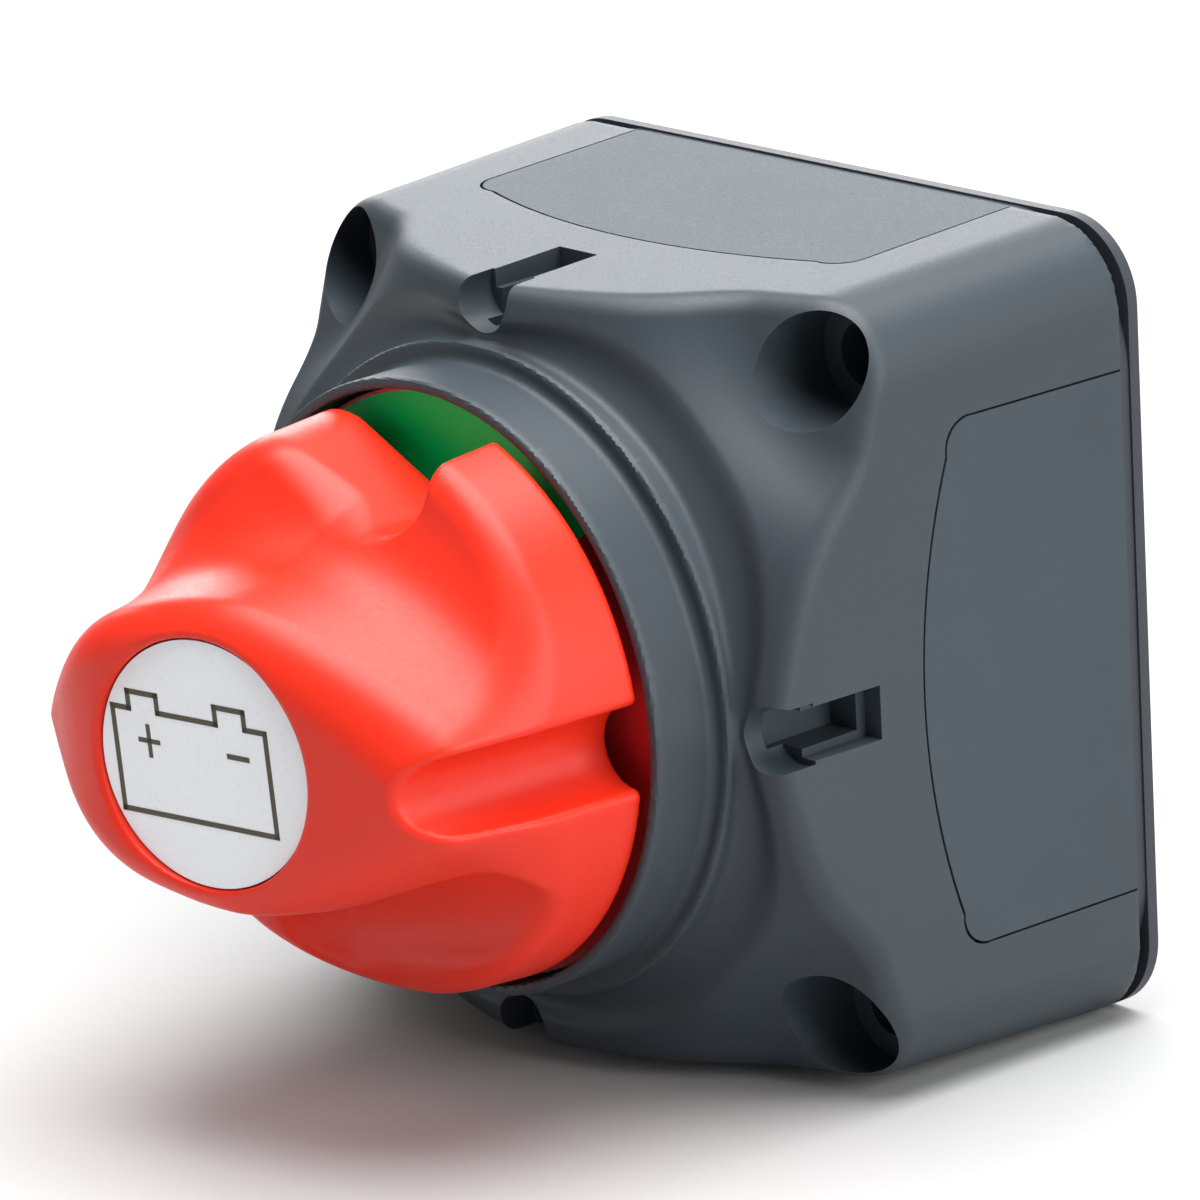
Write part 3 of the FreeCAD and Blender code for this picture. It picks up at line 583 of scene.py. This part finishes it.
thin_out(body, HOUSING_TRIANGLES)
cavity = prism("cavity", rounded_square(HALF - WALL, SIDE_CORNER - WALL), CAVITY_FRONT, 3)
for sx, sz in CORNERS:
    cut_away(cavity, prism("post", circle(POST_R, sx * HOLE, sz * HOLE), CAVITY_FRONT - 1.5, 5))
cut_away(body, cavity)
cut_away(body, prism("chamber", circle(CHAMBER_R), CHAMBER_FRONT, -27))
cut_away(body, prism("pocket", circle(POCKET_R), POCKET_FRONT, -24.0))
cut_away(body, prism("shaft_bore", circle(SHAFT_BORE_R, n=64), -46, -41))
for sx, sz in CORNERS:
    cut_away(body, prism("corner_bore", circle(BORE_R, sx * HOLE, sz * HOLE), -50, BORE_FLOOR))
    cut_away(body, prism("screw_hole", circle(SCREW_R, sx * HOLE, sz * HOLE, 64), -26, 3))
    place = BASE_SCREW_CIRCLE * math.sqrt(0.5)
    cut_away(body, prism("base_screw_hole", circle(BASE_SCREW_R, sx * place, sz * place, 32),
                         BASE_SCREW_FRONT, -27))
for quarter in range(4):
    cut_away(body, side_prism("panel_cut", panel_outline(0.0), HALF - PANEL_REBATE, quarter))
    cut_away(body, side_prism("plug_cut", panel_outline(PLUG_INSET), HALF - PLUG_DEPTH, quarter))
    cut_away(body, side_box("slot_ledge", SLOT_FRONT, SLOT_REAR, SLOT_HALF, SLOT_LEDGE, quarter))
    cut_away(body, side_box("slot_channel", CHANNEL_FRONT, CHANNEL_REAR, CHANNEL_HALF,
                            CHANNEL_FLOOR, quarter))
    a = math.radians(90 * quarter)
    cut_away(body, prism("slot_well", circle(WELL_R, WELL_CENTRE * math.cos(a),
                                             WELL_CENTRE * math.sin(a), 64), -46, WELL_FLOOR))
    cut_away(body, prism("notch", circle(NOTCH_R, NOTCH_CENTRE * math.cos(a),
                                         NOTCH_CENTRE * math.sin(a), 32), NOTCH_FRONT, -27))
smooth(body, 34)
body.data.materials.clear()
body.data.materials.append(housing_plastic)
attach(body, "housing")
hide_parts("front_housing")

# ---- Knob -------------------------------------------------------------------------------

fine = steps((-25.1, 25.1, 0.31))
turn_knob = sculpt("turn_knob", knob, fine, steps((-76.4, -46.2, 0.31)), fine)
thin_out(turn_knob, MOST_TRIANGLES)
smooth(turn_knob, 40)
turn_knob.data.materials.append(knob_plastic)
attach(turn_knob, "rotor")
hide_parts("knob")

# ---- Battery pictogram on the label -----------------------------------------------------

def stroke(bm, place, a, b, width):
    """Flat ink stroke on the label from a to b."""
    ax, az = a
    bx, bz = b
    length = math.hypot(bx - ax, bz - az)
    ux, uz = (bx - ax) / length * width / 2, (bz - az) / length * width / 2
    low = [(ax - ux - uz, az - uz + ux), (ax - ux + uz, az - uz - ux),
           (bx + ux + uz, bz + uz - ux), (bx + ux - uz, bz + uz + ux)]
    low = [(p - LEAN * q, q) for p, q in low]
    under = [bm.verts.new(place @ Vector((p * MM, 0.02 * MM, q * MM))) for p, q in low]
    over = [bm.verts.new(place @ Vector((p * MM, -0.03 * MM, q * MM))) for p, q in low]
    bm.faces.new(over)
    bm.faces.new(under[::-1])
    for i in range(4):
        j = (i + 1) % 4
        bm.faces.new((under[i], under[j], over[j], over[i]))


def pictogram():
    """Outline of a battery with two terminals, a plus and a minus."""
    depth = 1.0
    inward = Vector((-math.sin(LABEL_SLOPE), math.cos(LABEL_SLOPE), 0))
    start = Vector((0, LABEL_FRONT, 0)) + inward * depth
    place = (Matrix.Translation(start * MM) @ Matrix.Rotation(LABEL_SLOPE, 4, "Z")
             @ Matrix.Rotation(math.radians(1), 4, "Y"))
    left, right, top, bottom, bump = -8.9, 6.5, 3.6, -5.0, 1.45
    corners = [(left, top), (left + 1.7, top), (left + 1.7, top + bump), (left + 4.6, top + bump),
               (left + 4.6, top), (right - 4.9, top), (right - 4.9, top + bump),
               (right - 2.0, top + bump), (right - 2.0, top), (right, top), (right, bottom),
               (left, bottom)]
    bm = bmesh.new()
    for i, a in enumerate(corners):
        stroke(bm, place, a, corners[(i + 1) % len(corners)], 0.46)
    plus, minus = (left + 3.4, top - 2.5), (right - 3.0, top - 2.5)
    stroke(bm, place, (plus[0] - 0.9, plus[1]), (plus[0] + 0.9, plus[1]), 0.4)
    stroke(bm, place, (plus[0], plus[1] - 1.2), (plus[0], plus[1] + 1.2), 0.4)
    stroke(bm, place, (minus[0] - 0.9, minus[1]), (minus[0] + 0.9, minus[1]), 0.45)
    bmesh.ops.recalc_face_normals(bm, faces=bm.faces)
    mesh = bpy.data.meshes.new("label_pictogram")
    bm.to_mesh(mesh)
    bm.free()
    mesh.materials.append(ink)
    piece = bpy.data.objects.new("label_pictogram", mesh)
    bpy.context.scene.collection.objects.link(piece)
    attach(piece, "rotor")
    return piece


pictogram()

# ---- Floor, lights and camera -----------------------------------------------------------

bm = bmesh.new()
bmesh.ops.create_grid(bm, x_segments=2, y_segments=2, size=6.0)
floor_mesh = bpy.data.meshes.new("floor")
bm.to_mesh(floor_mesh)
bm.free()
floor = bpy.data.objects.new("floor", floor_mesh)
floor.location = (0, 0, cad_box[0].z)
bpy.context.scene.collection.objects.link(floor)
paper = Shader("floor_paper")
paper_tone = paper.blend(paper.spread(paper.noise(60.0), 0, 1), (0.44, 0.44, 0.44, 1),
                         (0.47, 0.47, 0.47, 1))
paper.set(Base_Color=paper_tone, Roughness=0.9)
floor.data.materials.append(paper.material)

world = bpy.data.worlds.new("studio")
bpy.context.scene.world = world
world.use_nodes = True
world.node_tree.nodes["Background"].inputs["Color"].default_value = (1.0, 1.0, 1.0, 1)
world.node_tree.nodes["Background"].inputs["Strength"].default_value = 0.20


def soft_light(name, at, towards, size, power):
    """Square studio light."""
    data = bpy.data.lights.new(name, "AREA")
    data.shape = "RECTANGLE"
    data.size, data.size_y = size
    data.energy = power
    lamp = bpy.data.objects.new(name, data)
    lamp.location = at
    lamp.rotation_mode = "QUATERNION"
    lamp.rotation_quaternion = (Vector(towards) - Vector(at)).to_track_quat("-Z", "Y")
    bpy.context.scene.collection.objects.link(lamp)


middle = (0, -0.03, 0)
soft_light("top_light", (0.05, 0.02, 0.75), middle, (0.7, 0.7), 15.0)
soft_light("back_light", (-0.62, 0.62, 0.30), middle, (0.8, 0.35), 6.0)
soft_light("right_light", (0.75, 0.12, 0.22), middle, (0.5, 0.7), 5.6)
soft_light("left_light", (-0.45, -0.75, 0.25), middle, (0.5, 0.6), 0.5)

camera_data = bpy.data.cameras.new("camera")
camera_data.sensor_width = 36
camera_data.lens = 240
camera = bpy.data.objects.new("camera", camera_data)
# The camera looks along a heading from +X towards +Y, and downwards, and is rolled a little.
heading, pitch, roll = (math.radians(a) for a in (137.884, -17.183, -3.110))
forward = Vector((math.cos(pitch) * math.cos(heading), math.cos(pitch) * math.sin(heading), math.sin(pitch)))
level = Vector((math.sin(heading), -math.cos(heading), 0))
right = level * math.cos(roll) + level.cross(forward) * math.sin(roll)
turn = Matrix((right, right.cross(forward), -forward)).transposed().to_4x4()
camera.matrix_world = Matrix.Translation((0.47264, -0.45703, 0.20009)) @ turn
camera_data.clip_start, camera_data.clip_end = 0.05, 30
bpy.context.scene.collection.objects.link(camera)
bpy.context.scene.camera = camera
bpy.context.scene.view_settings.view_transform = "Standard"

bpy.context.view_layer.update()
